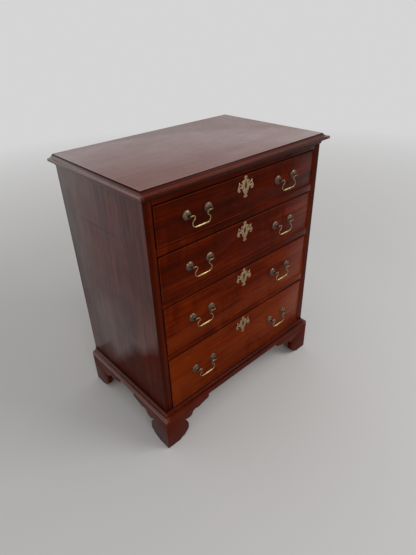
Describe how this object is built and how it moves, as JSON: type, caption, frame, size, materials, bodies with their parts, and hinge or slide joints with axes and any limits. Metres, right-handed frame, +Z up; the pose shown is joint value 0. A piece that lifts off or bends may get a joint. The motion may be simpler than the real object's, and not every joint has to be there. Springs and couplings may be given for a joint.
{
  "type": "chest of drawers",
  "caption": "Narrow mahogany chest with graduated cock-beaded drawers, swan-neck brass handles, pierced key plates and scalloped bracket feet.",
  "frame": {"origin": "centre of the bounding box on the floor", "axes": "+X towards the chest's right as its drawers are faced, the drawers face -Y, +Z up"},
  "size_m": [0.711, 0.4404, 0.85],
  "materials": {
    "mahogany_top": "French polish, faded reddish brown, high sheen with light wear",
    "mahogany_sides": "French polish, dark red-brown, vertical grain",
    "mahogany_fronts": "French polish, deep red-brown with mottled figure",
    "mahogany_beads": "French polish",
    "mahogany_rails": "French polish, orange brown",
    "mahogany_mouldings": "French polish, rubbed edges",
    "mahogany_feet": "French polish, scuffed",
    "oak_linings": "bare, aged oak",
    "pine_carcass": "bare, aged pine",
    "brass_handles": "old brass with dark patina, bright grips",
    "brass_plates": "old brass, rubbed bright",
    "iron_locks": "wrought iron, dull"
  },
  "bodies": {
    "chest": {"back_boards": "pine_carcass", "base_mouldings": "mahogany_mouldings", "bottom_board": "pine_carcass", "cornice_mouldings": "mahogany_mouldings", "divider_rails": "mahogany_rails", "drawer_stops": "pine_carcass", "dust_boards": "pine_carcass", "feet_back": "mahogany_feet", "feet_front": "mahogany_feet", "foot_blocks": "pine_carcass", "side_left": "mahogany_sides", "side_right": "mahogany_sides", "top_board": "mahogany_top", "top_rail_back": "pine_carcass", "top_rail_front": "mahogany_rails"},
    "drawer_1": {"drawer_1_back": "oak_linings", "drawer_1_bottom": "oak_linings", "drawer_1_cock_beads": "mahogany_beads", "drawer_1_escutcheon": "brass_plates", "drawer_1_front": "mahogany_fronts", "drawer_1_handle_mounts": "brass_handles", "drawer_1_lock": "iron_locks", "drawer_1_sides": "oak_linings"},
    "drawer_2": {"drawer_2_back": "oak_linings", "drawer_2_bottom": "oak_linings", "drawer_2_cock_beads": "mahogany_beads", "drawer_2_escutcheon": "brass_plates", "drawer_2_front": "mahogany_fronts", "drawer_2_handle_mounts": "brass_handles", "drawer_2_lock": "iron_locks", "drawer_2_sides": "oak_linings"},
    "drawer_3": {"drawer_3_back": "oak_linings", "drawer_3_bottom": "oak_linings", "drawer_3_cock_beads": "mahogany_beads", "drawer_3_escutcheon": "brass_plates", "drawer_3_front": "mahogany_fronts", "drawer_3_handle_mounts": "brass_handles", "drawer_3_lock": "iron_locks", "drawer_3_sides": "oak_linings"},
    "drawer_4": {"drawer_4_back": "oak_linings", "drawer_4_bottom": "oak_linings", "drawer_4_cock_beads": "mahogany_beads", "drawer_4_escutcheon": "brass_plates", "drawer_4_front": "mahogany_fronts", "drawer_4_handle_mounts": "brass_handles", "drawer_4_lock": "iron_locks", "drawer_4_sides": "oak_linings"},
    "drawer_1_bolt": {"drawer_1_lock_bolt": "iron_locks"},
    "drawer_1_bail_left": {"drawer_1_bail_left": "brass_handles"},
    "drawer_1_bail_right": {"drawer_1_bail_right": "brass_handles"},
    "drawer_2_bolt": {"drawer_2_lock_bolt": "iron_locks"},
    "drawer_2_bail_left": {"drawer_2_bail_left": "brass_handles"},
    "drawer_2_bail_right": {"drawer_2_bail_right": "brass_handles"},
    "drawer_3_bolt": {"drawer_3_lock_bolt": "iron_locks"},
    "drawer_3_bail_left": {"drawer_3_bail_left": "brass_handles"},
    "drawer_3_bail_right": {"drawer_3_bail_right": "brass_handles"},
    "drawer_4_bolt": {"drawer_4_lock_bolt": "iron_locks"},
    "drawer_4_bail_left": {"drawer_4_bail_left": "brass_handles"},
    "drawer_4_bail_right": {"drawer_4_bail_right": "brass_handles"}
  },
  "joints": [
    {"name": "drawer_1_slide", "type": "slide", "parent": "chest", "child": "drawer_1", "axis": [0, -1, 0], "range_m": [0, 0.3]},
    {"name": "drawer_2_slide", "type": "slide", "parent": "chest", "child": "drawer_2", "axis": [0, -1, 0], "range_m": [0, 0.3]},
    {"name": "drawer_3_slide", "type": "slide", "parent": "chest", "child": "drawer_3", "axis": [0, -1, 0], "range_m": [0, 0.3]},
    {"name": "drawer_4_slide", "type": "slide", "parent": "chest", "child": "drawer_4", "axis": [0, -1, 0], "range_m": [0, 0.3]},
    {"name": "drawer_1_bolt_slide", "type": "slide", "parent": "drawer_1", "child": "drawer_1_bolt", "axis": [0, 0, 1], "range_m": [0, 0.0085]},
    {"name": "drawer_1_bail_left_hinge", "type": "hinge", "parent": "drawer_1", "child": "drawer_1_bail_left", "pos_m": [-0.174, -0.21375, 0.752], "axis": [-1, 0, 0], "range_deg": [-19, 199]},
    {"name": "drawer_1_bail_right_hinge", "type": "hinge", "parent": "drawer_1", "child": "drawer_1_bail_right", "pos_m": [0.174, -0.21375, 0.752], "axis": [-1, 0, 0], "range_deg": [-19, 199]},
    {"name": "drawer_2_bolt_slide", "type": "slide", "parent": "drawer_2", "child": "drawer_2_bolt", "axis": [0, 0, 1], "range_m": [0, 0.0085]},
    {"name": "drawer_2_bail_left_hinge", "type": "hinge", "parent": "drawer_2", "child": "drawer_2_bail_left", "pos_m": [-0.174, -0.21375, 0.60725], "axis": [-1, 0, 0], "range_deg": [-19, 199]},
    {"name": "drawer_2_bail_right_hinge", "type": "hinge", "parent": "drawer_2", "child": "drawer_2_bail_right", "pos_m": [0.174, -0.21375, 0.60725], "axis": [-1, 0, 0], "range_deg": [-19, 199]},
    {"name": "drawer_3_bolt_slide", "type": "slide", "parent": "drawer_3", "child": "drawer_3_bolt", "axis": [0, 0, 1], "range_m": [0, 0.0085]},
    {"name": "drawer_3_bail_left_hinge", "type": "hinge", "parent": "drawer_3", "child": "drawer_3_bail_left", "pos_m": [-0.174, -0.21375, 0.43825], "axis": [-1, 0, 0], "range_deg": [-19, 199]},
    {"name": "drawer_3_bail_right_hinge", "type": "hinge", "parent": "drawer_3", "child": "drawer_3_bail_right", "pos_m": [0.174, -0.21375, 0.43825], "axis": [-1, 0, 0], "range_deg": [-19, 199]},
    {"name": "drawer_4_bolt_slide", "type": "slide", "parent": "drawer_4", "child": "drawer_4_bolt", "axis": [0, 0, 1], "range_m": [0, 0.0085]},
    {"name": "drawer_4_bail_left_hinge", "type": "hinge", "parent": "drawer_4", "child": "drawer_4_bail_left", "pos_m": [-0.174, -0.21375, 0.24125], "axis": [-1, 0, 0], "range_deg": [-19, 199]},
    {"name": "drawer_4_bail_right_hinge", "type": "hinge", "parent": "drawer_4", "child": "drawer_4_bail_right", "pos_m": [0.174, -0.21375, 0.24125], "axis": [-1, 0, 0], "range_deg": [-19, 199]}
  ]
}
